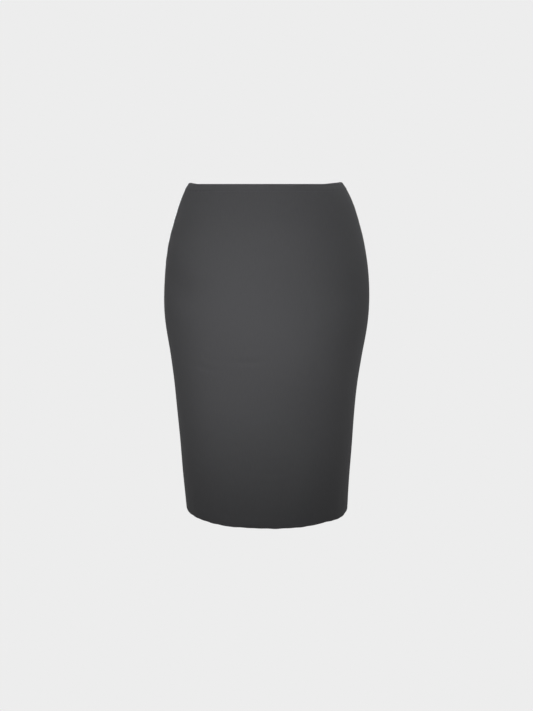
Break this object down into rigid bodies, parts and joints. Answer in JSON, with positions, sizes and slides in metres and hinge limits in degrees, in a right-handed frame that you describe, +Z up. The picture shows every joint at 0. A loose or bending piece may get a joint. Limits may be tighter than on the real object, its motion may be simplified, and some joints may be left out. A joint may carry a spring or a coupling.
{
  "type": "pencil skirt",
  "caption": "Plain knee-length pull-on pencil skirt in stretch knit, filled out as worn, with an elastic waist and a turned-up hem.",
  "frame": {"origin": "middle of the waist opening, level with the waist edge at the front, where the wearer holds the skirt up", "axes": "+Z up along the length of the skirt, -Y is the front, +X is the wearer's left"},
  "size_m": [0.3706, 0.2642, 0.6026],
  "materials": {
    "double_knit": "matt, smooth fine double-knit",
    "knitted_elastic": "matt, ribbed elastic tape"
  },
  "bodies": {
    "root": {"front_panel": "double_knit", "back_panel": "double_knit", "waist_elastic": "knitted_elastic", "side_seam_left": "double_knit", "side_seam_right": "double_knit"}
  },
  "joints": []
}
